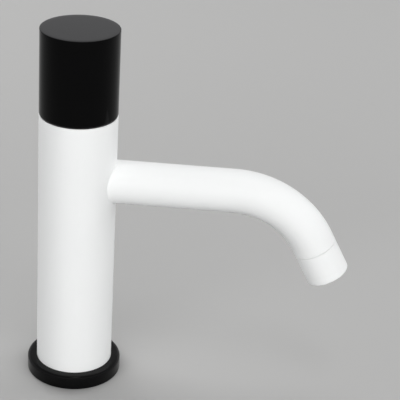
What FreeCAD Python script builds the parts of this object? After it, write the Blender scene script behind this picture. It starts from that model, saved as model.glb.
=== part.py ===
import FreeCAD, Part
import math
import os

# Basin mixer tap, in millimetres. The origin is on the body's axis, in the plane of the deck.
# +Z is up and the spout points along +X. Cold is on the +Y side, hot on the -Y side.
# The knob turns about the body's axis: shut at rest, then cold, mixed and hot.

# Clearances
fit = 0.05                      # radial, in soldered, pressed and screwed joints
running = 0.06                  # radial, between a turning piece and its guide
film = 0.02                     # between the two ceramic faces, and between stacked sliding faces
easing = 0.3                    # where pieces pass each other without guiding
end_gap = 0.2                   # left at the blind end of a socket
seal_gap = 0.02                 # between a ring seal and the walls it sits between
groove_easing = 0.15            # each side of a ring seal in its groove
overshoot = 1.0                 # how far a cutting shape reaches past what it cuts

# Cartridge, a 35 mm one: it sets how wide the body has to be
disc_rim = 1.5                  # from the ports' outer edge to the discs' edge
disc_thickness = 3.2
disc_easing = 0.45              # radial, between the discs and their housing
flange_thickness = 3.5
boss_height = 2.5
housing_skirt_wall = 3.4
housing_shoulder_height = 10.5
housing_roof = 3.25
housing_upper_wall = 1.6
neck_wall = 5.4
neck_height = 7.5
carrier_thickness = 3.6
collar_width = 3.0
collar_thickness = 1.4
washer_thickness = 0.8
lug_width = 4.0
lug_depth = 1.8
pin_radius = 1.25
pin_length = 1.6
pin_inset = 3.0                 # from the cartridge's edge to a pin's middle
pin_angles = (45, 180)

# Water ways and their control
port_radius = 2.8
port_circle = 9.3
inlet_angle = 100               # of the cold port, counted from the spout; hot mirrors it
outlet_port_radius = 3.0
outlet_port_offset = 4.0
turn_range = 110                # degrees from shut to fully hot
sealing_land = 3                # degrees of closed face beside a port when shut
recess_depth = 1.6
recess_hub_land = 0.9           # from the recess's middle part to the inlet ports

# Seals
port_seal_section = 1.2
riser_ring_section = 1.2
spindle_ring_section = 1.0
spigot_ring_section = 1.3
sleeve_ring_section = 0.95

# Nut, core and body shell
nut_thread_depth = 1.5
core_wall = 1.4
body_wall = 2.0
body_edge_round = 0.5
spout_height = 126.0            # of the spout's axis above the deck
seat_above_spout = 17.0
core_below_spout = 20.0
pocket_depth = 23.2             # from the cartridge's seat up to the body's top edge
mixing_wall = 1.8               # between the inlets' bores and the way to the spout
mixing_depth = 3.5

# Knob
joint_gap = 0.6                 # the hairline between body and knob
knob_height = 50.4
knob_wall = 2.5
knob_top = 3.5
knob_lower_round = 0.8
knob_upper_round = 0.4
glide_flange = 0.5
glide_recess = 0.6
glide_lip = 0.65
glide_lip_depth = 1.0
guide_wall = 0.9
guide_height = 5.8
nut_collar_height = 3.0
nut_slots = 6
nut_slot_width = 4.0
nut_slot_depth = 1.8

# Spindle, stop and knob adaptor
spindle_radius = 5.0
tang_width = 7.8
tang_height = 3.0
spline_step = 0.4               # from the spindle's radius to the teeth's tips
spline_depth = 0.4
spline_teeth = 20
spline_length = 13.0
stop_wall = 3.4
stop_ring_height = 5.0
stop_tooth_height = 4.0
stop_tooth_angle = 20
stop_margin = 1.5
stop_key_width = 3.0
stop_key_depth = 0.9
hub_wall = 3.9
hub_length = 9.5
adaptor_thickness = 9.0
adaptor_screw_radius = 1.95
adaptor_screw_length = 14.5
adaptor_web = 1.5               # under the screw's head
adaptor_head_radius = 3.5
adaptor_head_height = 2.6
grub_radius = 2.5
grub_length = 5.0
grub_inset = 0.3
grub_key_radius = 1.25
grub_key_depth = 2.0

# Base
gasket_thickness = 1.5
gasket_proud = 0.2
gasket_rim = 3.0                # from the gasket's edge to the base ring's edge
base_ring_width = 5.5           # from the body's side to the ring's edge
base_ring_top = 8.5
base_ring_floor = 2.0
base_ring_round = 1.8
plug_ledge = 1.0
plug_web = 2.5                  # between a hose's thread and the riser's socket
inlet_thread_radius = 4.5       # M10 x 1 tapping size
inlet_thread_length = 12.0
inlet_gasket_clearance = 1.5
stud_thread_radius = 3.4        # M8 tapping size
stud_thread_length = 12.0
stud_offset = 9.0
stud_gasket_clearance = 1.6

# Risers
riser_radius = 4.0
riser_wall = 1.2
plug_socket_depth = 6.0
core_socket_depth = 8.0

# Spout
spout_radius = 12.5
spout_wall = 1.5
spout_straight = 90.0           # from the body's axis to the start of the bend
spout_bend_radius = 53.0
spout_bend_angle = 62.0
spout_end_straight = 4.3        # from the end of the bend to the seam
saddle_gap = 0.02               # the solder between the spout and the body
spigot_step = 1.0               # from the tube's bore to the spigot's tail
spigot_wall = 2.5
spigot_hole_easing = 0.2        # in the shell's hole
spigot_seat_length = 14.0
spigot_land = 0.65              # left beside a seal's groove
lock_screw_radius = 2.0
lock_screw_length = 5.5
lock_screw_inset = 0.55         # from the pocket's wall to the screw's hole
lock_groove_depth = 1.0

# Outlet
sleeve_length = 19.1
seam_gap = 0.15
sleeve_bore_wall = 1.75
sleeve_ledge = 5.0
sleeve_ledge_width = 1.75
sleeve_end_round = 1.2
aerator_inset = 1.3             # of the aerator inside the sleeve's end
aerator_seal_thickness = 1.2
aerator_wall = 1.35
aerator_lip = 0.9
aerator_lip_height = 1.9
grid_thickness = 2.0
grid_pitch = 2.3
grid_web = 0.45
restrictor_thickness = 1.6
restrictor_skirt = 3.6
restrictor_skirt_wall = 0.8
restrictor_holes = 12
restrictor_hole_radius = 0.7
restrictor_hole_circle = 6.2
strainer_thickness = 0.8
strainer_hole_radius = 0.5
strainer_pitch = 1.8
key_notch_width = 3.0
key_notch_depth = 1.0

# Radii worked out from the inside to the outside
disc_radius = port_circle + port_radius + disc_rim
recess_outer_radius = port_circle + port_radius
recess_hub_radius = port_circle - port_radius - recess_hub_land
housing_bore = disc_radius + disc_easing
housing_upper_radius = housing_bore + housing_upper_wall
pocket_radius = housing_bore + housing_skirt_wall + fit
cartridge_radius = pocket_radius - fit
pin_circle = cartridge_radius - pin_inset
nut_radius = pocket_radius + nut_thread_depth
thread_bore = nut_radius + fit
core_radius = thread_bore + core_wall
body_bore = core_radius + fit
body_radius = body_bore + body_wall
knob_radius = body_radius
knob_bore = knob_radius - knob_wall
guide_radius = knob_bore - running
guide_inner = guide_radius - guide_wall
nut_collar_radius = guide_inner - 2 * easing
nut_bore = housing_upper_radius + 2 * fit
neck_radius = spindle_radius + running + neck_wall
collar_radius = spindle_radius + collar_width
spline_tip_radius = spindle_radius - spline_step
spline_root_radius = spline_tip_radius - spline_depth
hub_radius = spline_tip_radius + hub_wall
stop_inner = neck_radius + fit
stop_outer = neck_radius + stop_wall
ring_bore = body_bore - plug_ledge
base_ring_radius = body_radius + base_ring_width
gasket_radius = base_ring_radius - gasket_rim
spout_bore = spout_radius - spout_wall
spigot_radius = spout_bore - spigot_step
spigot_bore = spigot_radius - spigot_wall
socket_radius = spigot_radius + fit
riser_bore = riser_radius - riser_wall

# Heights worked out from the deck upwards
gasket_top = gasket_thickness
shell_seat = gasket_top + base_ring_floor
plug_socket_floor = gasket_top + inlet_thread_length + plug_web
plug_top = plug_socket_floor + plug_socket_depth
core_bottom = spout_height - core_below_spout
core_socket_top = core_bottom + core_socket_depth
seat_height = spout_height + seat_above_spout
body_top = seat_height + pocket_depth
flange_top = seat_height + flange_thickness
disc_floor = flange_top + boss_height
disc_face = disc_floor + disc_thickness
turning_low = disc_face + film
turning_top = turning_low + disc_thickness
carrier_top = turning_top + carrier_thickness
collar_top = carrier_top + collar_thickness
washer_top = collar_top + washer_thickness
housing_ceiling = washer_top + fit
nut_seat = flange_top + housing_shoulder_height
housing_top = housing_ceiling + housing_roof
neck_top = housing_top + neck_height
stop_ring_top = housing_top + stop_ring_height
knob_low = body_top + joint_gap
knob_high = knob_low + knob_height
hub_low = neck_top + easing
disc_low = hub_low + hub_length
adaptor_top = disc_low + adaptor_thickness
spline_low = hub_low
spindle_top = spline_low + spline_length
head_seat = spindle_top + easing + adaptor_web
grub_height = disc_low + adaptor_thickness / 2

# Places of the water ways, the same from the base up to the discs
inlet_x = port_circle * math.cos(math.radians(inlet_angle))
inlet_y = port_circle * math.sin(math.radians(inlet_angle))
inlets = ((inlet_x, inlet_y), (inlet_x, -inlet_y))
ports = (
    (inlet_x, inlet_y, port_radius),
    (inlet_x, -inlet_y, port_radius),
    (outlet_port_offset, 0.0, outlet_port_radius),
)

# Places along the spout's axis, from the body's axis
mixing_start = inlet_x + port_radius + mixing_wall
spigot_start = mixing_start + mixing_depth
lock_screw_offset = pocket_radius - lock_screw_radius - lock_screw_inset

# Sizes along the outlet's own axis, from the seam onwards
neck_length = spout_end_straight - easing
aerator_bore_radius = spout_radius - sleeve_bore_wall
sleeve_throat_radius = aerator_bore_radius - sleeve_ledge_width
aerator_radius = aerator_bore_radius - fit
aerator_low = sleeve_ledge + aerator_seal_thickness
aerator_end = sleeve_length - aerator_inset
insert_bore = aerator_radius - aerator_wall
insert_radius = insert_bore - fit
grid_low = aerator_end - aerator_lip_height - grid_thickness
restrictor_low = grid_low - restrictor_skirt - restrictor_thickness


def rod(radius, low, high, x=0.0, y=0.0):
    return Part.makeCylinder(radius, high - low, FreeCAD.Vector(x, y, low))


def tube(outer, inner, low, high, x=0.0, y=0.0):
    return rod(outer, low, high, x, y).cut(rod(inner, low, high, x, y))


def box(x_low, x_high, y_low, y_high, z_low, z_high):
    corner = FreeCAD.Vector(x_low, y_low, z_low)
    return Part.makeBox(x_high - x_low, y_high - y_low, z_high - z_low, corner)


# A ring seal of round section, lying flat
def ring_seal(middle_radius, section, height, x=0.0, y=0.0):
    return Part.makeTorus(middle_radius, section / 2, FreeCAD.Vector(x, y, height))


# The middle radius of a ring seal that nearly touches the wall it seals against
def inside_wall(wall_radius, section):
    return wall_radius - seal_gap - section / 2


def outside_wall(wall_radius, section):
    return wall_radius + seal_gap + section / 2


# A sector of a tube, between two angles in degrees
def sector(outer, inner, low, high, start, stop):
    piece = Part.makeCylinder(
        outer, high - low, FreeCAD.Vector(0, 0, low), FreeCAD.Vector(0, 0, 1), stop - start
    )
    piece.rotate(FreeCAD.Vector(0, 0, 0), FreeCAD.Vector(0, 0, 1), start)
    return piece.cut(rod(inner, low, high))


# A straight-sided bar of regular section, given the distance to its corners
def prism(sides, corner_radius, low, high, x=0.0, y=0.0, turn=0.0):
    corners = []
    for index in range(sides + 1):
        angle = math.radians(turn) + 2 * math.pi * index / sides
        across = corner_radius * math.cos(angle)
        along = corner_radius * math.sin(angle)
        corners.append(FreeCAD.Vector(x + across, y + along, low))
    return Part.Face(Part.makePolygon(corners)).extrude(FreeCAD.Vector(0, 0, high - low))


# A splined bar: teeth with straight flanks between a root and a tip radius
def spline_bar(tip_radius, root_radius, low, high):
    tooth_points = ((0.0, root_radius), (0.3, root_radius), (0.5, tip_radius), (0.8, tip_radius))
    corners = []
    for tooth in range(spline_teeth):
        for share, radius in tooth_points:
            angle = 2 * math.pi * (tooth + share) / spline_teeth
            corners.append(FreeCAD.Vector(radius * math.cos(angle), radius * math.sin(angle), low))
    corners.append(corners[0])
    return Part.Face(Part.makePolygon(corners)).extrude(FreeCAD.Vector(0, 0, high - low))


def round_rim(shape, rim_radius, rim_height, size):
    edges = []
    for edge in shape.Edges:
        curve = edge.Curve
        if not isinstance(curve, Part.Circle):
            continue
        if abs(curve.Radius - rim_radius) < 1e-4 and abs(curve.Center.z - rim_height) < 1e-4:
            edges.append(edge)
    return shape.makeFillet(size, edges)


def copies_round(shape, count, start=0.0):
    copies = []
    for index in range(count):
        copy = shape.copy()
        angle = start + 360.0 * index / count
        copy.rotate(FreeCAD.Vector(0, 0, 0), FreeCAD.Vector(0, 0, 1), angle)
        copies.append(copy)
    return copies


# Places whose distance from the middle is under a limit, on a triangular grid
def grid_places(pitch, limit):
    places = []
    rows = int(limit / pitch) + 2
    for row in range(-rows, rows + 1):
        y = row * pitch * math.sqrt(3) / 2
        for column in range(-rows, rows + 1):
            x = (column + 0.5 * (row % 2)) * pitch
            if math.hypot(x, y) <= limit:
                places.append((x, y))
    return places


# From a local axis along +Z to the spout's root, pointing out of the body
def at_spout_root(shape):
    turned = shape.copy()
    turned.rotate(FreeCAD.Vector(0, 0, 0), FreeCAD.Vector(0, 1, 0), 90)
    turned.translate(FreeCAD.Vector(0, 0, spout_height))
    return turned


# From a local axis along +Z to the outlet, with the seam at the local origin
def at_outlet(shape):
    angle = math.radians(spout_bend_angle)
    bend_end_x = spout_straight + spout_bend_radius * math.sin(angle)
    bend_end_z = spout_height - spout_bend_radius * (1 - math.cos(angle))
    seam_x = bend_end_x + spout_end_straight * math.cos(angle)
    seam_z = bend_end_z - spout_end_straight * math.sin(angle)
    turned = shape.copy()
    turned.rotate(FreeCAD.Vector(0, 0, 0), FreeCAD.Vector(0, 1, 0), 90 + spout_bend_angle)
    turned.translate(FreeCAD.Vector(seam_x, 0, seam_z))
    return turned


# The rubber disc under the base, with holes for two hoses and one stud
def base_gasket():
    disc = rod(gasket_radius, 0, gasket_top)
    holes = [rod(stud_thread_radius + stud_gasket_clearance, 0, gasket_top, stud_offset)]
    for x, y in inlets:
        holes.append(rod(inlet_thread_radius + inlet_gasket_clearance, 0, gasket_top, x, y))
    return disc.cut(holes)


# The black ring that the body stands in; its floor lies on the gasket
def base_ring():
    ring = tube(base_ring_radius, ring_bore, gasket_proud, base_ring_top)
    ring = ring.cut(rod(body_radius + 2 * fit, shell_seat, base_ring_top))
    ring = ring.cut(rod(gasket_radius + 2 * fit, gasket_proud, gasket_top))
    return round_rim(ring, base_ring_radius, base_ring_top, base_ring_round)


# The brass foot soldered into the shell: hose threads below, riser sockets above
def base_plug():
    plug = rod(body_bore - fit, shell_seat, plug_top)
    plug = plug.fuse(rod(ring_bore - fit, gasket_top, shell_seat)).removeSplitter()
    holes = [rod(stud_thread_radius, gasket_top, gasket_top + stud_thread_length, stud_offset)]
    groove_height = plug_socket_floor + plug_socket_depth / 2
    for x, y in inlets:
        holes.append(rod(inlet_thread_radius, gasket_top, gasket_top + inlet_thread_length, x, y))
        holes.append(rod(port_radius, gasket_top, plug_top, x, y))
        holes.append(riser_socket(plug_socket_floor, plug_top, groove_height, x, y))
    return plug.cut(holes)


# The space for a riser's end, with the groove of its ring seal
def riser_socket(low, high, groove_height, x, y):
    socket = rod(riser_radius + fit, low, high, x, y)
    half_width = riser_ring_section / 2 + groove_easing
    groove_radius = riser_radius + riser_ring_section + 3 * seal_gap
    groove = rod(groove_radius, groove_height - half_width, groove_height + half_width, x, y)
    return socket.fuse(groove)


def riser(x, y):
    return tube(riser_radius, riser_bore, plug_socket_floor + end_gap, core_socket_top - end_gap, x, y)


def cold_riser():
    return riser(*inlets[0])


def hot_riser():
    return riser(*inlets[1])


def riser_o_rings():
    middle = outside_wall(riser_radius, riser_ring_section)
    heights = (plug_socket_floor + plug_socket_depth / 2, core_bottom + core_socket_depth / 2)
    rings = []
    for x, y in inlets:
        for height in heights:
            rings.append(ring_seal(middle, riser_ring_section, height, x, y))
    return Part.makeCompound(rings)


# The visible white cylinder, a tube with the spout's hole and a rebate for the glide ring
def body_shell():
    shell = tube(body_radius, body_bore, shell_seat, body_top)
    rebate = rod(body_bore + glide_lip + fit, body_top - glide_lip_depth - fit, body_top)
    hole = at_spout_root(rod(spigot_radius + spigot_hole_easing, 0, 2 * body_radius))
    shell = shell.cut(rebate).cut(hole)
    return round_rim(shell, body_radius, body_top, body_edge_round)


# The brass core soldered into the shell: riser sockets, cartridge pocket and spout socket
def valve_core():
    core = rod(core_radius, core_bottom, body_top)
    holes = [
        rod(pocket_radius, seat_height, body_top),
        rod(thread_bore, nut_seat, body_top),
        rod(outlet_port_radius, spout_height, seat_height, outlet_port_offset),
        rod(lock_screw_radius, spout_height, seat_height, lock_screw_offset),
        at_spout_root(rod(spigot_bore, mixing_start, spigot_start)),
        at_spout_root(rod(socket_radius, spigot_start, 2 * core_radius)),
    ]
    groove_height = core_bottom + core_socket_depth / 2
    for x, y in inlets:
        holes.append(rod(port_radius, core_bottom, seat_height, x, y))
        holes.append(riser_socket(core_bottom, core_socket_top, groove_height, x, y))
    for angle in pin_angles:
        x, y = on_circle(pin_circle, angle)
        holes.append(rod(pin_radius + fit, seat_height - pin_length - end_gap, seat_height, x, y))
    return core.cut(holes)


def on_circle(radius, angle):
    return radius * math.cos(math.radians(angle)), radius * math.sin(math.radians(angle))


# The groove of one ring seal round a port, cut into a face of the cartridge's base
def seal_groove(x, y, radius, low, high):
    inner = radius + easing
    return tube(inner + port_seal_section + 3 * seal_gap, inner, low, high, x, y)


# The cartridge's foot: three ports, a groove round each on both faces, and two locating pins
def cartridge_base():
    foot = rod(cartridge_radius - fit, seat_height, flange_top)
    foot = foot.fuse(rod(housing_bore - fit, flange_top, disc_floor)).removeSplitter()
    depth = port_seal_section
    for x, y, radius in ports:
        foot = foot.cut(rod(radius, seat_height, disc_floor, x, y))
        foot = foot.cut(seal_groove(x, y, radius, seat_height, seat_height + depth))
        foot = foot.cut(seal_groove(x, y, radius, disc_floor - depth, disc_floor))
    for angle in pin_angles:
        x, y = on_circle(pin_circle, angle)
        foot = foot.fuse(rod(pin_radius, seat_height - pin_length, seat_height, x, y))
    key = disc_key(disc_floor, disc_floor + disc_thickness / 2, 0)
    return foot.fuse(copies_round(key, 2)).removeSplitter()


# One key on a disc's rim, and with extra width the notch that it sits in
def disc_key(low, high, extra):
    half_width = lug_width / 2 + extra
    bar = box(disc_radius - lug_depth - extra, 2 * disc_radius, -half_width, half_width, low, high)
    return bar.common(rod(housing_bore - fit, low, high))


def seals_round_ports(height):
    seals = []
    for x, y, radius in ports:
        middle = outside_wall(radius + easing, port_seal_section)
        seals.append(ring_seal(middle, port_seal_section, height, x, y))
    return Part.makeCompound(seals)


def port_seals():
    return seals_round_ports(seat_height + port_seal_section / 2)


def disc_seals():
    return seals_round_ports(disc_floor - port_seal_section / 2)


# The lower ceramic disc: three ports and two notches that keep it from turning
def fixed_disc():
    disc = rod(disc_radius, disc_floor, disc_face)
    holes = [rod(radius, disc_floor, disc_face, x, y) for x, y, radius in ports]
    notch = disc_key(disc_floor, disc_face, fit)
    return disc.cut(holes + copies_round(notch, 2))


# Where the two arms of the turning disc's recess start and stop, in degrees, when shut.
# The first uncovers the cold port and leaves it again at full turn. The second reaches the
# hot port when cold is fully open, and covers it at full turn.
def recess_arms():
    port_half = math.degrees(math.asin(port_radius / port_circle))
    cold_near = inlet_angle - port_half
    cold_far = inlet_angle + port_half
    hot_near = 360 - cold_far
    cold_arm = (cold_far - turn_range, cold_near - sealing_land)
    cold_full = cold_far - cold_arm[1]
    hot_arm = (hot_near - turn_range, hot_near - cold_full)
    return cold_arm, hot_arm


# The upper ceramic disc, with the mixing recess in its lower face
def turning_disc():
    disc = rod(disc_radius, turning_low, turning_top)
    recess_top = turning_low + recess_depth
    recess = rod(recess_hub_radius, turning_low, recess_top)
    arm_inner = recess_hub_radius / 2
    for start, stop in recess_arms():
        arm = sector(recess_outer_radius, arm_inner, turning_low, recess_top, start, stop)
        recess = recess.fuse(arm)
    disc = disc.cut(recess)
    notch = disc_key(recess_top, turning_top, fit)
    return disc.cut(copies_round(notch, 2, 90))


# The carrier that turns the upper disc: two lugs below, a square hole for the spindle
def disc_carrier():
    carrier = rod(housing_bore - running, turning_top, carrier_top)
    lug = disc_key(turning_low + recess_depth + fit, turning_top, 0)
    lug = lug.common(rod(disc_radius, turning_low, turning_top))
    carrier = carrier.fuse(copies_round(lug, 2, 90)).removeSplitter()
    hole_corner = (tang_width + 2 * fit) / math.sqrt(2)
    return carrier.cut(prism(4, hole_corner, carrier_top - tang_height - end_gap, carrier_top))


# The brass spindle: square tang, collar, two seal grooves, spline and a tapped end
def spindle():
    shaft = prism(4, tang_width / math.sqrt(2), carrier_top - tang_height, carrier_top)
    shaft = shaft.fuse(rod(collar_radius, carrier_top, collar_top))
    shaft = shaft.fuse(rod(spindle_radius, collar_top, spline_low))
    shaft = shaft.fuse(spline_bar(spline_tip_radius, spline_root_radius, spline_low, spindle_top))
    half_width = spindle_ring_section / 2 + groove_easing
    for height in spindle_ring_heights():
        bottom = spindle_radius + running - spindle_ring_section - 3 * seal_gap
        shaft = shaft.cut(tube(2 * spindle_radius, bottom, height - half_width, height + half_width))
    tapped = rod(adaptor_screw_radius + fit, head_seat - adaptor_screw_length - end_gap, spindle_top)
    return shaft.cut(tapped).removeSplitter()


def spindle_ring_heights():
    span = neck_top - housing_ceiling
    return housing_ceiling + 0.4 * span, housing_ceiling + 0.75 * span


def spindle_o_rings():
    middle = inside_wall(spindle_radius + running, spindle_ring_section)
    rings = []
    for height in spindle_ring_heights():
        rings.append(ring_seal(middle, spindle_ring_section, height))
    return Part.makeCompound(rings)


def thrust_washer():
    return tube(collar_radius, spindle_radius + easing, collar_top, washer_top)


# The cartridge's housing: a skirt that the nut presses down, a roof and a neck
def cartridge_housing():
    housing = rod(cartridge_radius - fit, flange_top, nut_seat)
    housing = housing.fuse(rod(housing_upper_radius, nut_seat, housing_top))
    housing = housing.fuse(rod(neck_radius, housing_top, neck_top))
    housing = housing.cut(rod(housing_bore, flange_top, housing_ceiling))
    housing = housing.cut(rod(spindle_radius + running, housing_ceiling, neck_top))
    half_width = stop_key_width / 2 + fit
    slot_floor = neck_radius - stop_key_depth - fit
    slot = box(slot_floor, 2 * neck_radius, -half_width, half_width, housing_top, neck_top)
    return housing.cut(slot).removeSplitter()


# The ring that limits the turn: keyed to the neck, with one tooth towards the back
def stop_ring():
    ring = tube(stop_outer, stop_inner, housing_top, stop_ring_top)
    half_width = stop_key_width / 2
    key_tip = neck_radius - stop_key_depth
    key = box(key_tip, stop_inner + fit, -half_width, half_width, housing_top, stop_ring_top)
    start = 180 - stop_tooth_angle / 2
    stop = 180 + stop_tooth_angle / 2
    tooth_top = stop_ring_top + stop_tooth_height
    tooth = sector(stop_outer, stop_inner + easing, stop_ring_top, tooth_top, start, stop)
    return ring.fuse([key, tooth]).removeSplitter()


# The slotted brass nut that holds the cartridge down
def retaining_nut():
    nut_top = body_top + nut_collar_height
    nut = rod(nut_radius, nut_seat, body_top).fuse(rod(nut_collar_radius, body_top, nut_top))
    nut = nut.cut(rod(nut_bore, nut_seat, nut_top))
    half_width = nut_slot_width / 2
    slot_floor = nut_top - nut_slot_depth
    slot = box(nut_bore - overshoot, nut_radius, -half_width, half_width, slot_floor, nut_top)
    return nut.cut(copies_round(slot, nut_slots)).removeSplitter()


# The plastic ring in the hairline joint: lip in the shell, flange on its edge, guide in the knob
def glide_ring():
    flange_top_height = body_top + glide_flange
    ring = tube(body_radius - glide_recess, guide_inner, body_top, flange_top_height)
    ring = ring.fuse(tube(guide_radius, guide_inner, body_top, body_top + guide_height))
    ring = ring.fuse(tube(body_bore + glide_lip, body_bore, body_top - glide_lip_depth, body_top))
    return ring.removeSplitter()


# The plain black knob, a cup with its mouth down and a grub screw's hole at the back
def knob_shell():
    shell = rod(knob_radius, knob_low, knob_high)
    shell = shell.cut(rod(knob_bore, knob_low, knob_high - knob_top))
    shell = shell.cut(towards_back(rod(grub_radius + fit, knob_bore - overshoot, 2 * knob_radius)))
    shell = round_rim(shell, knob_radius, knob_low, knob_lower_round)
    return round_rim(shell, knob_radius, knob_high, knob_upper_round)


# From a local axis along +Z to the grub screw's axis, pointing out of the knob's back
def towards_back(shape):
    turned = shape.copy()
    turned.rotate(FreeCAD.Vector(0, 0, 0), FreeCAD.Vector(0, 1, 0), -90)
    turned.translate(FreeCAD.Vector(0, 0, grub_height))
    return turned


# The disc that carries the knob on the spindle. Its skirt is open over the angle that the
# knob may turn, and the stop ring's tooth stands in that opening.
def knob_adaptor():
    adaptor = rod(knob_bore - fit, disc_low, adaptor_top).fuse(rod(hub_radius, hub_low, disc_low))
    opening_start = 180 - stop_tooth_angle / 2 - stop_margin - turn_range
    opening_stop = 180 + stop_tooth_angle / 2 + stop_margin
    skirt_low = stop_ring_top + easing
    skirt_inner = neck_radius + 2 * easing
    skirt = sector(stop_outer, skirt_inner, skirt_low, disc_low, opening_stop, opening_start + 360)
    adaptor = adaptor.fuse(skirt).removeSplitter()
    tip_bore = spline_tip_radius + fit
    root_bore = spline_root_radius + fit
    adaptor = adaptor.cut(spline_bar(tip_bore, root_bore, hub_low, spindle_top + easing))
    adaptor = adaptor.cut(rod(adaptor_screw_radius + 2 * fit, hub_low, adaptor_top))
    adaptor = adaptor.cut(rod(adaptor_head_radius + easing, head_seat, adaptor_top))
    grub_tip = knob_radius - grub_inset - grub_length
    return adaptor.cut(towards_back(rod(grub_radius + fit, grub_tip - end_gap, knob_radius)))


# The screw that holds the adaptor on the spindle
def adaptor_screw():
    head_top = head_seat + adaptor_head_height
    screw = rod(adaptor_screw_radius, head_seat - adaptor_screw_length, head_seat)
    screw = screw.fuse(rod(adaptor_head_radius, head_seat, head_top)).removeSplitter()
    return screw.cut(prism(6, adaptor_head_radius / 2, head_top - adaptor_head_height / 2, head_top))


# The headless screw that holds the knob on the adaptor
def knob_grub_screw():
    tip = knob_radius - grub_inset - grub_length
    end = knob_radius - grub_inset
    screw = rod(grub_radius, tip, end).cut(prism(6, grub_key_radius, end - grub_key_depth, end))
    return towards_back(screw)


# The bent spout tube, without the saddle cut: straight, bend, straight
def spout_path(outer, inner):
    root = at_spout_root(tube(outer, inner, 0, spout_straight))
    end = at_outlet(tube(outer, inner, -spout_end_straight, 0))
    bend_start = FreeCAD.Vector(spout_straight, 0, spout_height)
    circle = Part.makeCircle(outer, bend_start, FreeCAD.Vector(1, 0, 0))
    hollow = Part.makeCircle(inner, bend_start, FreeCAD.Vector(1, 0, 0))
    section = Part.Face(Part.Wire(circle)).cut(Part.Face(Part.Wire(hollow)))
    centre = FreeCAD.Vector(spout_straight, 0, spout_height - spout_bend_radius)
    bend = section.Faces[0].revolve(centre, FreeCAD.Vector(0, 1, 0), spout_bend_angle)
    return root.fuse([bend, end]).removeSplitter()


# The white spout, cut to lie on the body's cylinder
def spout_tube():
    return spout_path(spout_radius, spout_bore).cut(rod(body_radius + saddle_gap, 0, body_top))


def lock_groove():
    half_width = lock_screw_radius
    return lock_screw_offset - half_width, lock_screw_offset + half_width


# Where the spigot's two ring seals sit, side by side between its end and the lock groove
def spigot_ring_places():
    half_width = spigot_ring_section / 2 + groove_easing
    first = spigot_start + end_gap + spigot_land + half_width
    return first, lock_groove()[0] - spigot_land - half_width


# The brass tail of the spout: it plugs into the core and is locked by a screw in its groove
def spout_spigot():
    seat = body_radius + easing
    spigot = rod(spigot_radius, spigot_start + end_gap, seat)
    spigot = spigot.fuse(rod(spout_bore - fit, seat, seat + spigot_seat_length)).removeSplitter()
    spigot = spigot.cut(rod(spigot_bore, spigot_start, seat + spigot_seat_length))
    groove_low, groove_high = lock_groove()
    groove_bottom = spigot_radius - lock_groove_depth
    spigot = spigot.cut(tube(2 * spigot_radius, groove_bottom, groove_low, groove_high))
    half_width = spigot_ring_section / 2 + groove_easing
    bottom = socket_radius - spigot_ring_section - 3 * seal_gap
    for place in spigot_ring_places():
        spigot = spigot.cut(tube(2 * spigot_radius, bottom, place - half_width, place + half_width))
    return at_spout_root(spigot)


def spigot_o_rings():
    middle = inside_wall(socket_radius, spigot_ring_section)
    rings = [ring_seal(middle, spigot_ring_section, place) for place in spigot_ring_places()]
    return at_spout_root(Part.makeCompound(rings))


# The headless screw under the cartridge that keeps the spout in its socket
def spout_lock_screw():
    low = spout_height + spigot_radius - lock_groove_depth + fit
    high = low + lock_screw_length
    screw = rod(lock_screw_radius - fit, low, high, lock_screw_offset)
    return screw.cut(prism(6, lock_screw_radius / 2, high - lock_screw_radius, high, lock_screw_offset))


# The outlet's sleeve: its neck goes into the tube and its bore holds the aerator
def aerator_sleeve():
    sleeve = rod(spout_radius, seam_gap, sleeve_length)
    sleeve = sleeve.fuse(rod(spout_bore - fit, -neck_length, seam_gap)).removeSplitter()
    sleeve = sleeve.cut(rod(sleeve_throat_radius, -neck_length, sleeve_length))
    sleeve = sleeve.cut(rod(aerator_bore_radius, sleeve_ledge, sleeve_length))
    half_width = sleeve_ring_section / 2 + groove_easing
    bottom = spout_bore - sleeve_ring_section - 3 * seal_gap
    middle = -neck_length / 2
    sleeve = sleeve.cut(tube(2 * spout_bore, bottom, middle - half_width, middle + half_width))
    return at_outlet(round_rim(sleeve, spout_radius, sleeve_length, sleeve_end_round))


def sleeve_o_ring():
    middle = inside_wall(spout_bore, sleeve_ring_section)
    return at_outlet(ring_seal(middle, sleeve_ring_section, -neck_length / 2))


def aerator_seal():
    return at_outlet(tube(aerator_radius - fit, sleeve_throat_radius, sleeve_ledge, aerator_low))


# The aerator's barrel: a lip at the outlet holds the stack, two notches take a key
def aerator_housing():
    barrel = tube(aerator_radius, insert_bore - aerator_lip, aerator_low, aerator_end)
    barrel = barrel.cut(rod(insert_bore, aerator_low, aerator_end - aerator_lip_height))
    half_width = key_notch_width / 2
    inner = insert_bore - 2 * aerator_lip
    low = aerator_end - key_notch_depth
    notch = box(inner, 2 * aerator_radius, -half_width, half_width, low, aerator_end)
    return at_outlet(barrel.cut(copies_round(notch, 2, 90)))


# The honeycomb that straightens the water at the outlet
def aerator_grid():
    disc = rod(insert_radius, grid_low, grid_low + grid_thickness)
    corner = (grid_pitch - grid_web) / math.sqrt(3)
    cells = []
    for x, y in grid_places(grid_pitch, insert_radius - aerator_lip - grid_pitch / 2):
        cells.append(prism(6, corner, grid_low, grid_low + grid_thickness, x, y, 30))
    return at_outlet(disc.cut(cells))


# The flow restrictor: a plate with a circle of holes, standing on the grid by its skirt
def flow_restrictor():
    plate_top = restrictor_low + restrictor_thickness
    plate = rod(insert_radius, restrictor_low, plate_top)
    skirt = tube(insert_radius, insert_radius - restrictor_skirt_wall, plate_top, grid_low)
    hole = rod(restrictor_hole_radius, restrictor_low, plate_top, restrictor_hole_circle)
    plate = plate.fuse(skirt).removeSplitter()
    return at_outlet(plate.cut(copies_round(hole, restrictor_holes)))


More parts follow.
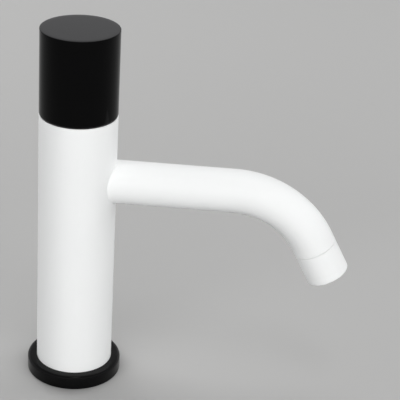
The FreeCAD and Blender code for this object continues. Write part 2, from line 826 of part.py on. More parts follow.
# The strainer plate that keeps grit out of the aerator
def aerator_strainer():
    low = restrictor_low - strainer_thickness
    plate = rod(insert_radius, low, restrictor_low)
    holes = []
    for x, y in grid_places(strainer_pitch, insert_radius - 2 * strainer_hole_radius):
        holes.append(rod(strainer_hole_radius, low, restrictor_low, x, y))
    return at_outlet(plate.cut(holes))


nodes = (
    base_gasket, base_ring, base_plug, body_shell, cold_riser, hot_riser, riser_o_rings, valve_core,
    cartridge_base, port_seals, disc_seals, fixed_disc, turning_disc, disc_carrier, spindle,
    spindle_o_rings, thrust_washer, cartridge_housing, stop_ring, retaining_nut, glide_ring,
    knob_shell, knob_adaptor, adaptor_screw, knob_grub_screw, spout_tube, spout_spigot,
    spigot_o_rings, spout_lock_screw, aerator_sleeve, sleeve_o_ring, aerator_seal, aerator_housing,
    aerator_strainer, flow_restrictor, aerator_grid,
)

os.makedirs("parts", exist_ok=True)
for make in nodes:
    made = make()
    solids = made.Solids
    whole = solids[0] if len(solids) == 1 else Part.makeCompound(solids)
    whole.exportStep("parts/" + make.__name__ + ".step")
    print(make.__name__, len(solids), round(whole.Volume, 1), whole.isValid())
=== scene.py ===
import bmesh
import bpy
import numpy as np
from math import radians
from mathutils import Matrix, Vector


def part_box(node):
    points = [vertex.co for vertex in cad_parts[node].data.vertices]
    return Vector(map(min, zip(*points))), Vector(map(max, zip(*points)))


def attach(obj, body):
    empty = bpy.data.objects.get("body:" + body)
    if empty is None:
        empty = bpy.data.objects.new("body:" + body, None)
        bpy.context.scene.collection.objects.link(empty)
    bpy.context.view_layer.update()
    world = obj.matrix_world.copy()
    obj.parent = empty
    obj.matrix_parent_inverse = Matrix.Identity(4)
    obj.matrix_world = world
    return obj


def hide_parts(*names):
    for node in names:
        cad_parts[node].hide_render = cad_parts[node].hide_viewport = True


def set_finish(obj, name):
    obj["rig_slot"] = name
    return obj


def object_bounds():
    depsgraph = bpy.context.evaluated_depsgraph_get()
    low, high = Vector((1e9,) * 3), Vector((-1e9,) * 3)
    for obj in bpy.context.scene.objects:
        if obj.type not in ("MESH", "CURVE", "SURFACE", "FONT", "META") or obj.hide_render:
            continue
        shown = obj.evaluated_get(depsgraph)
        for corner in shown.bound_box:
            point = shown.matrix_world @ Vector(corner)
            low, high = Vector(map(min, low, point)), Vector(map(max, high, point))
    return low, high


# Basin mixer tap. Sizes are written in millimetres and become metres in the meshes.
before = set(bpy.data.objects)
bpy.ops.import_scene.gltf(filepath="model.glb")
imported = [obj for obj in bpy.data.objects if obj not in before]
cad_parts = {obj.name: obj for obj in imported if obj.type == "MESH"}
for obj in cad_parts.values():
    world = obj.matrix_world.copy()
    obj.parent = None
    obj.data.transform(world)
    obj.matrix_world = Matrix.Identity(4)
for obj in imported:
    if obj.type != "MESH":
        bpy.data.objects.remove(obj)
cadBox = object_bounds()
mm = 0.001
print("frame loaded:", len(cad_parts), "nodes")

meshing = {
    "arcPoints": 9,         # on each rounded corner of an outline
    "holeArcPoints": 7,     # on each rounded edge of a drilled hole
    "shortestStep": 1e-5,   # millimetres: shorter steps of an outline are dropped
    "mergeWithin": 2e-7,    # metres: points this close become one
    "sharpAngle": 38,       # degrees: sharper edges aren't shaded smooth
}


def nodeBox(name):
    # lowest and highest corner of a CAD node, in millimetres
    return [np.array(corner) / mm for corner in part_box(name)]


def spoutSection():
    # radius of the spout and height of its level axis: the CAD tube's box is as wide as the
    # tube, and its top is one radius above the axis
    high = nodeBox("spout_tube")[1]
    return high[1], high[2] - high[1]


def finishMesh(name, parts, sharpAngle=meshing["sharpAngle"]):
    # joins grids into one closed mesh: equal points merge and the faces turn outwards
    points = np.concatenate([p.reshape(-1, 3) for p, q in parts]) * mm
    starts = np.cumsum([0] + [p.size // 3 for p, q in parts[:-1]])
    quads = np.concatenate([q + s for (p, q), s in zip(parts, starts)])
    mesh = bpy.data.meshes.new(name)
    mesh.from_pydata(points, [], quads.tolist())
    work = bmesh.new()
    work.from_mesh(mesh)
    bmesh.ops.remove_doubles(work, verts=work.verts, dist=meshing["mergeWithin"])
    bmesh.ops.recalc_face_normals(work, faces=work.faces)
    work.to_mesh(mesh)
    work.free()
    mesh.shade_smooth()
    mesh.set_sharp_from_angle(angle=radians(sharpAngle))
    piece = bpy.data.objects.new(name, mesh)
    bpy.context.scene.collection.objects.link(piece)
    return piece


def grid(points):
    # quads between neighbouring rows and columns of points[row, column]
    rows, columns = points.shape[:2]
    index = np.arange(rows * columns).reshape(rows, columns)
    quads = np.stack([index[:-1, :-1], index[1:, :-1], index[1:, 1:], index[:-1, 1:]], -1)
    return points, quads.reshape(-1, 4)


def rounded(corners):
    # outline through the corners (across, along, radius), each corner swapped for an arc:
    # the arc starts radius * tan(turn / 2) before the corner and turns about its own centre
    c = np.array(corners, float)
    p, r = c[:, :2], c[:, 2]
    before = np.diff(p, axis=0, prepend=2 * p[:1] - p[1:2])
    after = np.diff(p, axis=0, append=2 * p[-1:] - p[-2:-1])
    before /= np.linalg.norm(before, axis=1, keepdims=True)
    after /= np.linalg.norm(after, axis=1, keepdims=True)
    turn = np.arctan2(before[:, 0] * after[:, 1] - before[:, 1] * after[:, 0], (before * after).sum(1))
    start = p - before * (r * np.tan(np.abs(turn) / 2))[:, None]
    side = np.stack([-before[:, 1], before[:, 0]], 1) * np.sign(turn)[:, None]
    centre = start + side * r[:, None]
    arm = (start - centre)[:, None]
    angle = turn[:, None] * np.linspace(0, 1, meshing["arcPoints"])
    x = arm[..., 0] * np.cos(angle) - arm[..., 1] * np.sin(angle)
    y = arm[..., 0] * np.sin(angle) + arm[..., 1] * np.cos(angle)
    outline = (centre[:, None] + np.stack([x, y], -1)).reshape(-1, 2)
    step = np.linalg.norm(np.diff(outline, axis=0), axis=1)
    return outline[np.concatenate([[True], step > meshing["shortestStep"]])]


def divided(outline, longest):
    # the same outline with its long runs cut into equal pieces of at most that length
    run = np.linalg.norm(np.diff(outline, axis=0), axis=1)
    share = np.concatenate([[0], np.cumsum(np.ceil(run / longest).clip(1))])
    wanted = np.arange(share[-1] + 1)
    return np.stack([np.interp(wanted, share, outline[:, k]) for k in (0, 1)], 1)


def ringAngles(sides):
    # angles of the columns round a ring, the first one again at the end
    return 2 * np.pi * (np.arange(sides + 1) % sides) / sides


def turned(outline, sides):
    # outline (radius, height) carried round the Z axis: x = r cos a, y = r sin a
    a = ringAngles(sides)
    r, z = outline[:, :1], outline[:, 1:]
    return grid(np.stack([r * np.cos(a), r * np.sin(a), z + 0 * a], -1))


def squareLoop(half):
    # points (u, v) round the square from -1 to 1, "half" of them from each middle to a corner
    t = np.linspace(-1, 1, 2 * half + 1)[:-1]
    one = np.ones(2 * half)
    u = np.concatenate([one, -t, -one, t, one[:1]])
    v = np.concatenate([t, one, -t, -one, -one[:1]])
    return u, v


def drilledWall(radius, hole, sides):
    # a band of a cylinder with a round hole in it, whose middle lies on the wall's column
    # hole["column"]: plain columns beside a square patch, in which rings pass from the hole's
    # circle to the square, along straight lines between them
    half, column = hole["columns"], hole["column"]
    height = hole["height"] + hole["reach"] * np.linspace(-1, 1, 2 * half + 1)
    angle = ringAngles(sides)[np.arange(column + half, column + sides - half + 1) % sides]
    plain = np.stack([
        radius * np.cos(angle) + 0 * height[:, None],
        radius * np.sin(angle) + 0 * height[:, None],
        height[:, None] + 0 * angle,
    ], -1)
    u, v = squareLoop(half)
    beta = np.arctan2(v, u)
    t = np.linspace(0, 1, hole["rings"])[:, None]
    aside = np.arcsin(hole["mouth"] * np.cos(beta) / radius)
    a = (1 - t) * aside + t * u * 2 * np.pi * half / sides + 2 * np.pi * column / sides
    z = hole["height"] + (1 - t) * hole["mouth"] * np.sin(beta) + t * v * hole["reach"]
    patch = np.stack([radius * np.cos(a), radius * np.sin(a), z], -1)
    return [grid(plain), grid(patch)]


def holeLining(outer, inner, hole, sides):
    # the hole's side between two walls: a quarter arc in from each wall, straight between them
    u, v = squareLoop(hole["columns"])
    beta = np.arctan2(v, u)
    edge = hole["mouth"] - hole["radius"]
    steps = meshing["holeArcPoints"]
    tau = np.linspace(0, np.pi / 2, steps)
    rho = hole["radius"] + edge * (1 - np.sin(tau))
    rho = np.concatenate([rho, rho[::-1]])[:, None]
    sink = edge * (1 - np.cos(tau))
    depth = np.concatenate([-sink, sink[::-1]])[:, None]
    wall = np.repeat([outer, inner], steps)[:, None]
    across = rho * np.cos(beta)
    out = np.sqrt(wall ** 2 - across ** 2) + depth
    turn = 2 * np.pi * hole["column"] / sides
    x = out * np.cos(turn) - across * np.sin(turn)
    y = out * np.sin(turn) + across * np.cos(turn)
    return grid(np.stack([x, y, hole["height"] + rho * np.sin(beta)], -1))


# The body: a tube with an opening for the spout's spigot
body = {
    "wall": 2.0,
    "topRound": 0.5,
    "rebateWidth": 0.7,     # of the recess round the mouth, for the ring that the knob glides on
    "rebateDepth": 1.05,
    "innerEdge": 0.15,
    "bottomRound": 0.3,
    "spoutHole": 10.2,      # radius of the opening, and of its mouth in both walls
    "spoutHoleMouth": 10.4,
    "patchReach": 16.0,     # from the opening's middle to the plain wall above and below it
    "patchColumns": 26,     # of the body's columns, from the opening's middle to each side
    "patchRings": 6,
    "longestRun": 4.0,
    "sides": 240,
}


def makeBody():
    low, high = nodeBox("body_shell")
    radius, bore, edge = high[0], high[0] - body["wall"], body["innerEdge"]
    middle = spoutSection()[1]
    hole = {
        "radius": body["spoutHole"], "mouth": body["spoutHoleMouth"], "height": middle, "column": 0,
        "reach": body["patchReach"], "columns": body["patchColumns"], "rings": body["patchRings"],
    }
    upper, lower = middle + hole["reach"], middle - hole["reach"]
    rebate = high[2] - body["rebateDepth"]
    top = rounded([
        (radius, upper, 0), (radius, high[2], body["topRound"]),
        (bore + body["rebateWidth"], high[2], edge), (bore + body["rebateWidth"], rebate, 0),
        (bore, rebate, edge), (bore, upper, 0),
    ])
    bottom = rounded([
        (bore, lower, 0), (bore, low[2], edge),
        (radius, low[2], body["bottomRound"]), (radius, lower, 0),
    ])
    sides = body["sides"]
    parts = [turned(divided(outline, body["longestRun"]), sides) for outline in (top, bottom)]
    parts += drilledWall(radius, hole, sides) + drilledWall(bore, hole, sides)
    parts.append(holeLining(radius, bore, hole, sides))
    piece = finishMesh("body_column", parts)
    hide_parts("body_shell")
    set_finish(piece, "white_satin_paint")
    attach(piece, "tap_body")
    return piece


# The knob: a cup with its mouth down and the grub screw's hole at the back
knob = {
    "wall": 2.5,
    "top": 3.5,
    "lowerRound": 0.8,
    "upperRound": 0.4,
    "innerEdge": 0.3,
    "screwHole": 2.55,
    "screwHoleEdge": 0.25,
    "patchReach": 3.7,      # as in the body, for the grub screw's hole
    "patchColumns": 6,
    "patchRings": 3,
    "longestRun": 3.0,
    "sides": 240,
}


def makeKnob():
    low, high = nodeBox("knob_shell")
    screwLow, screwHigh = nodeBox("knob_grub_screw")
    radius, bore, edge = high[0], high[0] - knob["wall"], knob["innerEdge"]
    middle = (screwLow[2] + screwHigh[2]) / 2
    sides = knob["sides"]
    hole = {
        "radius": knob["screwHole"], "mouth": knob["screwHole"] + knob["screwHoleEdge"],
        "height": middle, "column": sides // 2, "reach": knob["patchReach"],
        "columns": knob["patchColumns"], "rings": knob["patchRings"],
    }
    upper, lower = middle + hole["reach"], middle - hole["reach"]
    ceiling = high[2] - knob["top"]
    top = rounded([(radius, upper, 0), (radius, high[2], knob["upperRound"]), (0, high[2], 0)])
    inside = rounded([(0, ceiling, 0), (bore, ceiling, edge), (bore, upper, 0)])
    mouth = rounded([
        (bore, lower, 0), (bore, low[2], edge),
        (radius, low[2], knob["lowerRound"]), (radius, lower, 0),
    ])
    parts = [turned(divided(outline, knob["longestRun"]), sides) for outline in (top, inside, mouth)]
    parts += drilledWall(radius, hole, sides) + drilledWall(bore, hole, sides)
    parts.append(holeLining(radius, bore, hole, sides))
    piece = finishMesh("knob_cap", parts)
    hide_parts("knob_shell")
    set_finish(piece, "black_gloss_paint")
    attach(piece, "knob")
    return piece


# The foot ring: the body stands in its upper recess, the gasket sits in its lower one
foot = {
    "bodyGap": 0.1,
    "bodySeat": 3.5,        # height at which the body stands
    "bore": 19.5,
    "gasketRecess": 25.1,
    "gasketTop": 1.5,
    "outerRound": 1.8,
    "edge": 0.2,
    "longestRun": 1.5,
    "sides": 288,
}


def makeFoot():
    low, high = nodeBox("base_ring")
    bodyRadius = nodeBox("body_shell")[1][0]
    radius, seat, edge = high[0], bodyRadius + foot["bodyGap"], foot["edge"]
    middle = (seat + radius) / 2
    outline = rounded([
        (middle, high[2], 0), (radius, high[2], foot["outerRound"]), (radius, low[2], edge),
        (foot["gasketRecess"], low[2], edge), (foot["gasketRecess"], foot["gasketTop"], 0),
        (foot["bore"], foot["gasketTop"], edge), (foot["bore"], foot["bodySeat"], edge),
        (seat, foot["bodySeat"], 0), (seat, high[2], edge), (middle, high[2], 0),
    ])
    piece = finishMesh("foot_ring", [turned(divided(outline, foot["longestRun"]), foot["sides"])])
    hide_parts("base_ring")
    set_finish(piece, "black_satin_paint")
    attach(piece, "tap_body")
    return piece


# The spout: its axis leaves the body level, turns down through the bend and ends at the seam
spout = {
    "wall": 1.5,
    "straight": 90.0,       # from the body's axis to the start of the bend
    "bendRadius": 53.0,
    "bendAngle": 62.0,
    "endStraight": 4.3,     # from the end of the bend to the seam
    "rootFillet": 0.5,      # paint and braze in the corner with the body
    "leanLength": 20.0,     # over which the rings turn square to the axis
    "endEdge": 0.15,
    "sharpAngle": 50,       # degrees, in place of the one that the other meshes share
    "longestRun": 1.2,
    "sides": 144,
}


def alongSpout(s, rho, a, height):
    # point at distance s along the axis, rho from it and at angle a from its upper side:
    # the axis turns by (s - straight) / bendRadius, and past the bend it runs on straight
    most = radians(spout["bendAngle"])
    theta = ((s - spout["straight"]) / spout["bendRadius"]).clip(0, most)
    level = np.minimum(s, spout["straight"])
    tail = (s - spout["straight"] - spout["bendRadius"] * most).clip(0)
    x = level + spout["bendRadius"] * np.sin(theta) + tail * np.cos(most)
    z = height - spout["bendRadius"] * (1 - np.cos(theta)) - tail * np.sin(most)
    up = rho * np.cos(a)
    return np.stack([x + up * np.sin(theta), rho * np.sin(a) + 0 * x, z + up * np.cos(theta)], -1)


def spoutEnd():
    # distance along the axis at which the seam lies
    most = radians(spout["bendAngle"])
    return spout["straight"] + spout["bendRadius"] * most + spout["endStraight"]


def makeSpout():
    radius, height = spoutSection()
    bodyRadius = nodeBox("body_shell")[1][0]
    bore, fillet, end = radius - spout["wall"], spout["rootFillet"], spoutEnd()
    outline = rounded([
        (bodyRadius, radius + fillet, 0), (bodyRadius, radius, fillet),
        (end, radius, spout["endEdge"]), (end, bore, spout["endEdge"]), (bodyRadius, bore, 0),
        (bodyRadius, radius + fillet, 0),
    ])
    outline = divided(outline, spout["longestRun"])
    s, rho = outline[:, :1], outline[:, 1:]
    a = ringAngles(spout["sides"])
    # near the body each ring leans to lie on its wall: x = sqrt(bodyRadius^2 - y^2)
    lean = ((bodyRadius + spout["leanLength"] - s) / spout["leanLength"]).clip(0, 1)
    onBody = np.sqrt(bodyRadius ** 2 - (rho * np.sin(a)) ** 2)
    s = s + lean * (onBody - bodyRadius)
    piece = finishMesh("spout_pipe", [grid(alongSpout(s, rho, a, height))], spout["sharpAngle"])
    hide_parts("spout_tube")
    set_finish(piece, "white_satin_paint")
    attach(piece, "tap_body")
    return piece


# The outlet sleeve, screwed into the spout's end behind the hairline seam
sleeve = {
    "seam": 0.15,
    "length": 19.1,
    "neck": 4.0,            # length of the part inside the spout
    "neckRadius": 10.95,
    "throat": 9.0,
    "bore": 10.75,
    "ledge": 5.0,           # from the seam to the step that the aerator's seal rests on
    "grooveBottom": 9.99,
    "grooveHalfWidth": 0.62,
    "endRound": 1.2,
    "seamEdge": 0.15,
    "lipEdge": 0.35,
    "throatEdge": 0.2,
    "neckEdge": 0.3,
    "longestRun": 1.0,
    "sides": 180,
}


def makeSleeve():
    radius, height = spoutSection()
    k, groove, half = sleeve, -sleeve["neck"] / 2, sleeve["grooveHalfWidth"]
    outline = rounded([
        (k["neckRadius"], k["seam"], 0), (radius, k["seam"], k["seamEdge"]),
        (radius, k["length"], k["endRound"]), (k["bore"], k["length"], k["lipEdge"]),
        (k["bore"], k["ledge"], 0), (k["throat"], k["ledge"], k["throatEdge"]),
        (k["throat"], -k["neck"], k["throatEdge"]), (k["neckRadius"], -k["neck"], k["neckEdge"]),
        (k["neckRadius"], groove - half, 0), (k["grooveBottom"], groove - half, 0),
        (k["grooveBottom"], groove + half, 0), (k["neckRadius"], groove + half, 0),
        (k["neckRadius"], k["seam"], 0),
    ])
    outline = divided(outline, k["longestRun"])
    a = ringAngles(k["sides"])
    # the outline's height runs along the axis past the seam, where the spout stays straight
    points = alongSpout(spoutEnd() + outline[:, 1:], outline[:, :1], a, height)
    piece = finishMesh("outlet_sleeve", [grid(points)])
    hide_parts("aerator_sleeve")
    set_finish(piece, "white_satin_paint")
    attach(piece, "tap_body")
    return piece


pieces = [makeBody(), makeKnob(), makeFoot(), makeSpout(), makeSleeve()]
print("pieces made:", len(pieces))


def newGroup(name, inputs, outputs):
    # an empty shader node group: its tree, and the sockets that it is given and that it fills
    tree = bpy.data.node_groups.new(name, "ShaderNodeTree")
    for label, kind, value in inputs:
        socket = tree.interface.new_socket(label, in_out="INPUT", socket_type="NodeSocket" + kind)
        if value is not None:
            socket.default_value = value
    for label, kind in outputs:
        tree.interface.new_socket(label, in_out="OUTPUT", socket_type="NodeSocket" + kind)
    return tree, tree.nodes.new("NodeGroupInput").outputs, tree.nodes.new("NodeGroupOutput").inputs


def addNode(tree, kind, values=None, **settings):
    # one node; a value that is a socket is linked, any other is set
    node = tree.nodes.new("ShaderNode" + kind)
    for label, value in settings.items():
        setattr(node, label, value)
    for label, value in (values or {}).items():
        if isinstance(value, bpy.types.NodeSocket):
            tree.links.new(value, node.inputs[label])
        else:
            node.inputs[label].default_value = value
    return node


def addMath(tree, operation, *values):
    # the result of one Math node
    return addNode(tree, "Math", dict(enumerate(values)), operation=operation).outputs[0]


def addNoise(tree, vector, scale, detail):
    # the value of one Noise Texture node
    noise = addNode(tree, "TexNoise", {"Vector": vector, "Scale": scale, "Detail": detail})
    return noise.outputs[0]


def addRange(tree, value, given, wanted, **settings):
    # the value carried from one range to another
    values = dict(enumerate([value, *given, *wanted]))
    return addNode(tree, "MapRange", values, **settings).outputs[0]


patterns = {
    "driftNoise": (0.25, 0.75),     # noise that gives the darkest and the lightest colour
    "maskNoise": (0.3, 0.7),        # noise that gives the lowest and the highest roughness
    "fineScale": 3.6,               # of a paint's finer waves, times the broad ones'
    "filmScale": 0.12,              # of the clouds in a paint's film, times the broad waves'
    "wearScale": 90.0,              # of the duller and brighter places on turned metal
    "flowScale": 0.03,              # of the clouds in a moulded surface, times its grain's
}


def tintDrift():
    # the colour, lighter and darker in soft clouds: colour * (1 + drift * swing), swing -1 to 1
    tree, given, result = newGroup("tintDrift", [
        ("Color", "Color", None), ("Drift", "Float", 0.02), ("Scale", "Float", 60.0),
        ("Vector", "Vector", None),
    ], [("Color", "Color")])
    cloud = addNoise(tree, given["Vector"], given["Scale"], 3.0)
    swing = addRange(tree, cloud, patterns["driftNoise"], (-1.0, 1.0))
    factor = addMath(tree, "MULTIPLY_ADD", swing, given["Drift"], 1.0)
    shaded = addNode(tree, "VectorMath", {0: given["Color"], "Scale": factor}, operation="SCALE")
    tree.links.new(shaded.outputs[0], result["Color"])
    return tree


def paintSkin():
    # orange peel of sprayed paint: broad soft waves with finer ones on them, and clouds in the
    # film's thickness
    tree, given, result = newGroup("paintSkin", [
        ("Vector", "Vector", None), ("Scale", "Float", 350.0), ("Fine Share", "Float", 0.35),
    ], [("Height", "Float"), ("Film", "Float")])
    finer = addMath(tree, "MULTIPLY", given["Scale"], patterns["fineScale"])
    slower = addMath(tree, "MULTIPLY", given["Scale"], patterns["filmScale"])
    broad = addNoise(tree, given["Vector"], given["Scale"], 1.0)
    fine = addNoise(tree, given["Vector"], finer, 2.0)
    film = addNoise(tree, given["Vector"], slower, 4.0)
    height = addMath(tree, "MULTIPLY_ADD", fine, given["Fine Share"], broad)
    tree.links.new(height, result["Height"])
    tree.links.new(film, result["Film"])
    return tree


def turningMarks():
    # fine rings left by a lathe: noise over height and the radius sqrt(x^2 + y^2) alone, so
    # that each mark runs round the Z axis, and broad places of wear
    tree, given, result = newGroup("turningMarks", [
        ("Vector", "Vector", None), ("Lines", "Float", 2500.0),
    ], [("Height", "Float"), ("Mask", "Float")])
    place = addNode(tree, "SeparateXYZ", {0: given["Vector"]}).outputs
    square = addMath(tree, "MULTIPLY", place["X"], place["X"])
    total = addMath(tree, "MULTIPLY_ADD", place["Y"], place["Y"], square)
    radius = addMath(tree, "SQRT", total)
    where = addNode(tree, "CombineXYZ", {"X": radius, "Y": place["Z"]}).outputs[0]
    tree.links.new(addNoise(tree, where, given["Lines"], 2.0), result["Height"])
    tree.links.new(addNoise(tree, given["Vector"], patterns["wearScale"], 3.0), result["Mask"])
    return tree


def mouldedGrain():
    # the fine even grain of a moulded or pressed surface, and soft flow clouds in it
    tree, given, result = newGroup("mouldedGrain", [
        ("Vector", "Vector", None), ("Grain", "Float", 4000.0),
    ], [("Height", "Float"), ("Clouds", "Float")])
    spots = {"Vector": given["Vector"], "Scale": given["Grain"]}
    grains = addNode(tree, "TexVoronoi", spots, feature="SMOOTH_F1")
    slower = addMath(tree, "MULTIPLY", given["Grain"], patterns["flowScale"])
    tree.links.new(grains.outputs[0], result["Height"])
    tree.links.new(addNoise(tree, given["Vector"], slower, 3.0), result["Clouds"])
    return tree


groups = {"tint": tintDrift(), "skin": paintSkin(), "turning": turningMarks(), "grain": mouldedGrain()}


def makeMaterial(name, look):
    # a Principled shader whose colour drifts, whose roughness spans a range by the pattern's mask,
    # and whose bump is the pattern's height; everything else is a plain value on the shader
    material = bpy.data.materials.new(name)
    material.use_nodes = True
    tree = material.node_tree
    shader = tree.nodes["Principled BSDF"]
    for label, value in look["shader"].items():
        shader.inputs[label].default_value = value
    place = addNode(tree, "TexCoord").outputs["Object"]
    if "turn" in look:
        place = addNode(tree, "Mapping", {"Vector": place, "Rotation": look["turn"]}).outputs[0]
    tint = addNode(tree, "Group", node_tree=groups["tint"])
    tint.inputs["Color"].default_value = (*look["color"], 1)
    tint.inputs["Drift"].default_value, tint.inputs["Scale"].default_value = look["drift"]
    tree.links.new(place, tint.inputs["Vector"])
    tree.links.new(tint.outputs[0], shader.inputs["Base Color"])
    kind, *values = look["pattern"]
    pattern = addNode(tree, "Group", node_tree=groups[kind])
    tree.links.new(place, pattern.inputs["Vector"])
    for index, value in enumerate(values, 1):
        pattern.inputs[index].default_value = value
    rough = addRange(tree, pattern.outputs[1], patterns["maskNoise"], look["roughness"])
    tree.links.new(rough, shader.inputs["Roughness"])
    strength, distance = look["bump"]
    relief = {"Height": pattern.outputs[0], "Strength": strength, "Distance": distance}
    tree.links.new(addNode(tree, "Bump", relief).outputs[0], shader.inputs["Normal"])
    return material


# Each finish: its colour, how far that drifts and over which noise scale, its pattern with the
# pattern's own values, the least and most roughness, the bump's strength and depth in metres
finishes = {
    "whiteSatinEnamel": {
        "color": (0.86, 0.868, 0.865), "drift": (0.008, 30.0), "pattern": ("skin", 420.0, 0.3),
        "roughness": (0.46, 0.54), "bump": (0.35, 0.00006), "shader": {"Specular IOR Level": 0.32},
    },
    "blackGlossLacquer": {
        "color": (0.0012, 0.0012, 0.0013), "drift": (0.15, 40.0), "pattern": ("skin", 500.0, 0.2),
        "roughness": (0.07, 0.12), "bump": (0.15, 0.00003), "shader": {"Specular IOR Level": 0.08},
    },
    "blackSatinCoat": {
        "color": (0.0015, 0.0015, 0.0016), "drift": (0.2, 80.0), "pattern": ("skin", 1600.0, 0.5),
        "roughness": (0.13, 0.19), "bump": (0.3, 0.00004), "shader": {"Specular IOR Level": 0.14},
    },
    "blackAcetal": {
        "color": (0.012, 0.012, 0.013), "drift": (0.15, 120.0), "pattern": ("grain", 5000.0),
        "roughness": (0.38, 0.5), "bump": (0.25, 0.00003), "shader": {"Specular IOR Level": 0.45},
    },
    "whiteAcetal": {
        "color": (0.74, 0.745, 0.74), "drift": (0.02, 120.0), "pattern": ("grain", 4500.0),
        "roughness": (0.36, 0.48), "bump": (0.2, 0.00003),
        "shader": {"Subsurface Weight": 0.05, "Subsurface Scale": 0.001},
    },
    "sealRubber": {
        "color": (0.018, 0.018, 0.019), "drift": (0.25, 200.0), "pattern": ("grain", 6000.0),
        "roughness": (0.6, 0.78), "bump": (0.4, 0.00004), "shader": {"Specular IOR Level": 0.35},
    },
    "turnedBrass": {
        "color": (0.72, 0.5, 0.22), "drift": (0.08, 90.0), "pattern": ("turning", 3000.0),
        "roughness": (0.2, 0.34), "bump": (0.3, 0.00004), "shader": {"Metallic": 1.0},
    },
    "drawnStainless": {
        "color": (0.60, 0.59, 0.57), "drift": (0.05, 150.0), "pattern": ("turning", 900.0),
        "roughness": (0.24, 0.36), "bump": (0.2, 0.00003), "shader": {"Metallic": 1.0},
    },
    "screwSteel": {
        "color": (0.42, 0.42, 0.43), "drift": (0.08, 300.0), "pattern": ("turning", 4000.0),
        "roughness": (0.26, 0.4), "bump": (0.25, 0.00003), "shader": {"Metallic": 1.0},
    },
    "sinteredCeramic": {
        "color": (0.80, 0.79, 0.76), "drift": (0.02, 250.0), "pattern": ("grain", 9000.0),
        "roughness": (0.12, 0.22), "bump": (0.1, 0.00001), "shader": {"Specular IOR Level": 0.7},
    },
}
# the spigot's lathe marks run round the spout's level axis
finishes["brassAlongSpout"] = {**finishes["turnedBrass"], "turn": (0.0, radians(90), 0.0)}
materials = {name: makeMaterial(name, look) for name, look in finishes.items()}

finishOfSlot = {
    "white_satin_paint": "whiteSatinEnamel",
    "black_gloss_paint": "blackGlossLacquer",
    "black_satin_paint": "blackSatinCoat",
    "black_plastic": "blackAcetal",
    "white_plastic": "whiteAcetal",
    "rubber_seal": "sealRubber",
    "brass": "turnedBrass",
    "stainless_tube": "drawnStainless",
    "steel_screw": "screwSteel",
    "ceramic_disc": "sinteredCeramic",
}
for piece in pieces:
    piece.data.materials.append(materials[finishOfSlot[piece["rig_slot"]]])
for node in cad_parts.values():
    for slot in node.material_slots:
        slot.material = materials[finishOfSlot[slot.material.name.split(".")[0]]]
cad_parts["spout_spigot"].material_slots[0].material = materials["brassAlongSpout"]
print("materials made:", len(materials))


studio = {
    "backdrop": [                           # the background's colours by the sine of their height
        (0.06, (0.455, 0.453, 0.449)),
        (0.24, (0.98, 0.98, 1.0)),
        (0.38, (0.98, 0.98, 1.0)),
        (0.54, (0.4, 0.4, 0.4)),
    ],
    "light": (0.98, 0.99, 1.0),             # even light from all round
    "lightStrength": 0.22,
    "floor": (0.444, 0.442, 0.438),         # the floor as seen
    "floorBounce": (0.16, 0.16, 0.158),     # the floor as it lights the tap
    "floorRoughness": 0.9,
    "floorSpecular": 0.1,
    "floorFade": (0.5, 1.5),                # metres out, over which it passes into the background
    "floorRadius": 2.4,                     # metres
    "floorDepth": 0.05,                     # millimetres below the deck's plane
    "floorRings": 12,
    "floorSides": 96,
}


def seenRay(tree):
    # 1 for what the eye, a reflection or a clear body shows, 0 for what only lights the object
    ray = addNode(tree, "LightPath").outputs
    seen = addMath(tree, "MAXIMUM", ray["Is Camera Ray"], ray["Is Glossy Ray"])
    return addMath(tree, "MAXIMUM", seen, ray["Is Transmission Ray"])


def makeWorld():
    # a plain pale background for the eye and for reflections, and soft even light for the rest
    world = bpy.data.worlds.new("studioWorld")
    bpy.context.scene.world = world
    world.use_nodes = True
    tree = world.node_tree
    tree.nodes.clear()
    ray = addNode(tree, "TexCoord").outputs["Generated"]
    height = addNode(tree, "SeparateXYZ", {0: ray}).outputs["Z"]
    backdrop = addNode(tree, "ValToRGB", {"Fac": height})
    ramp = backdrop.color_ramp
    ramp.interpolation = "EASE"
    while len(ramp.elements) < len(studio["backdrop"]):
        ramp.elements.new(1.0)
    for element, (place, color) in zip(ramp.elements, studio["backdrop"]):
        element.position, element.color = place, (*color, 1)
    even = {"Color": (*studio["light"], 1), "Strength": studio["lightStrength"]}
    light = addNode(tree, "Background", even)
    plain = addNode(tree, "Background", {"Color": backdrop.outputs[0], "Strength": 1.0})
    mix = addNode(tree, "MixShader", {0: seenRay(tree), 1: light.outputs[0], 2: plain.outputs[0]})
    output = addNode(tree, "OutputWorld")
    tree.links.new(mix.outputs[0], output.inputs["Surface"])


def makeFloor():
    # a flat disc: point (r cos a, r sin a, -depth), fading out towards its edge
    r = np.linspace(0, studio["floorRadius"], studio["floorRings"] + 1)[:, None] / mm
    a = ringAngles(studio["floorSides"])
    points = np.stack([r * np.cos(a), r * np.sin(a), 0 * r * a - studio["floorDepth"]], -1)
    floor = finishMesh("studio_floor", [grid(points)])
    material = bpy.data.materials.new("floorPaper")
    material.use_nodes = True
    tree = material.node_tree
    shader = tree.nodes["Principled BSDF"]
    shader.inputs["Roughness"].default_value = studio["floorRoughness"]
    shader.inputs["Specular IOR Level"].default_value = studio["floorSpecular"]
    tone = addNode(tree, "Mix", data_type="RGBA")
    tree.links.new(seenRay(tree), tone.inputs["Factor"])
    tone.inputs[6].default_value = (*studio["floorBounce"], 1)      # input 6 is colour A, 7 is B
    tone.inputs[7].default_value = (*studio["floor"], 1)
    tree.links.new(tone.outputs[2], shader.inputs["Base Color"])
    place = addNode(tree, "TexCoord").outputs["Object"]
    away = addNode(tree, "VectorMath", {0: place}, operation="LENGTH").outputs["Value"]
    fade = addRange(tree, away, studio["floorFade"], (1.0, 0.0), interpolation_type="SMOOTHSTEP")
    tree.links.new(fade, shader.inputs["Alpha"])
    floor.data.materials.append(material)


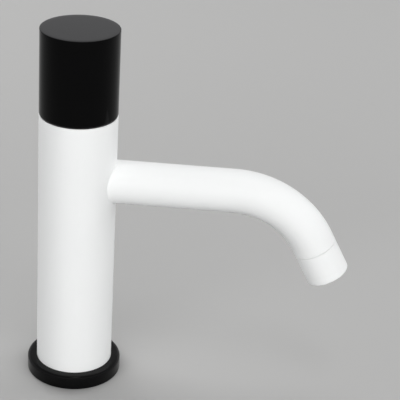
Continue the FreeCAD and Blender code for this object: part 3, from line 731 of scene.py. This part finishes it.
# Large soft panels, aimed at the tap's middle. Azimuth counts from the front towards the right,
# both angles are in degrees, and distance and size are in metres.
lamps = {
    "frontPanelLeft": {
        "azimuth": -18, "elevation": 14, "distance": 2.1, "size": (2.0, 1.0), "share": 0.62,
    },
    "frontPanelRight": {
        "azimuth": 45, "elevation": 14, "distance": 2.1, "size": (2.0, 1.0), "share": 0.51,
    },
    "stripPanel": {
        "azimuth": 10, "elevation": 66, "distance": 2.0, "size": (0.35, 0.6), "share": 0.06,
    },
    "leftPanel": {
        "azimuth": -132, "elevation": 22, "distance": 2.0, "size": (1.6, 1.3), "share": 0.55,
    },
    "rightPanel": {
        "azimuth": 125, "elevation": 20, "distance": 2.0, "size": (1.4, 1.3), "share": 0.34,
    },
    "topPanel": {
        "azimuth": 180, "elevation": 65, "distance": 2.0, "size": (1.3, 1.3), "share": 0.28,
    },
}
mirroredPanels = ("stripPanel", "topPanel")     # the ones that glossy surfaces show


def makeLamps():
    # power = share * (pi distance)^2, where share is the brightness that the panel gives to a
    # white surface facing it
    low, high = cadBox
    target = (low + high) / 2
    for name, lamp in lamps.items():
        light = bpy.data.lights.new(name, "AREA")
        light.shape = "RECTANGLE"
        light.size, light.size_y = lamp["size"]
        light.energy = lamp["share"] * (np.pi * lamp["distance"]) ** 2
        azimuth, elevation = radians(lamp["azimuth"]), radians(lamp["elevation"])
        level = np.cos(elevation)
        aim = Vector((np.sin(azimuth) * level, -np.cos(azimuth) * level, np.sin(elevation)))
        panel = bpy.data.objects.new(name, light)
        panel.location = target + aim * lamp["distance"]
        panel.rotation_euler = aim.to_track_quat("Z", "Y").to_euler()
        panel.visible_glossy = name in mirroredPanels
        panel.visible_camera = False
        bpy.context.scene.collection.objects.link(panel)


view = {
    "place": (99.0, -722.58, 476.09),       # millimetres
    "heading": -4.99,                       # degrees from +Y towards +X
    "tilt": -25.31,
    "roll": 2.34,
    "frame": 400,                           # pixels across the square picture
    "focal": 1406.86,                       # in the frame's pixels
    "middle": (140.0, 172.0),               # pixel of the frame that the lens axis meets
    "sensor": 36,                           # millimetres
    "clip": (0.01, 20),                     # metres
}


def makeCamera():
    # forward = (sin h cos t, cos h cos t, sin t); right is level; both side axes turn by the roll
    h, t, roll = (radians(view[k]) for k in ("heading", "tilt", "roll"))
    forward = Vector((np.sin(h) * np.cos(t), np.cos(h) * np.cos(t), np.sin(t)))
    level = Vector((np.cos(h), -np.sin(h), 0))
    upright = level.cross(forward)
    right = level * np.cos(roll) + upright * np.sin(roll)
    up = upright * np.cos(roll) - level * np.sin(roll)
    across, down = view["middle"]
    half = view["frame"] / 2
    data = bpy.data.cameras.new("photoCamera")
    data.sensor_width = view["sensor"]
    data.lens = view["focal"] / view["frame"] * view["sensor"]
    data.shift_x = (half - across) / view["frame"]
    data.shift_y = (down - half) / view["frame"]
    data.clip_start, data.clip_end = view["clip"]
    camera = bpy.data.objects.new("photoCamera", data)
    turn = Matrix((right, up, -forward)).transposed().to_4x4()
    camera.matrix_world = Matrix.Translation(Vector(view["place"]) * mm) @ turn
    bpy.context.scene.collection.objects.link(camera)
    bpy.context.scene.camera = camera


makeWorld()
makeFloor()
makeLamps()
makeCamera()
bpy.context.scene.view_settings.view_transform = "Standard"
print("studio made:", len(lamps), "lamps")
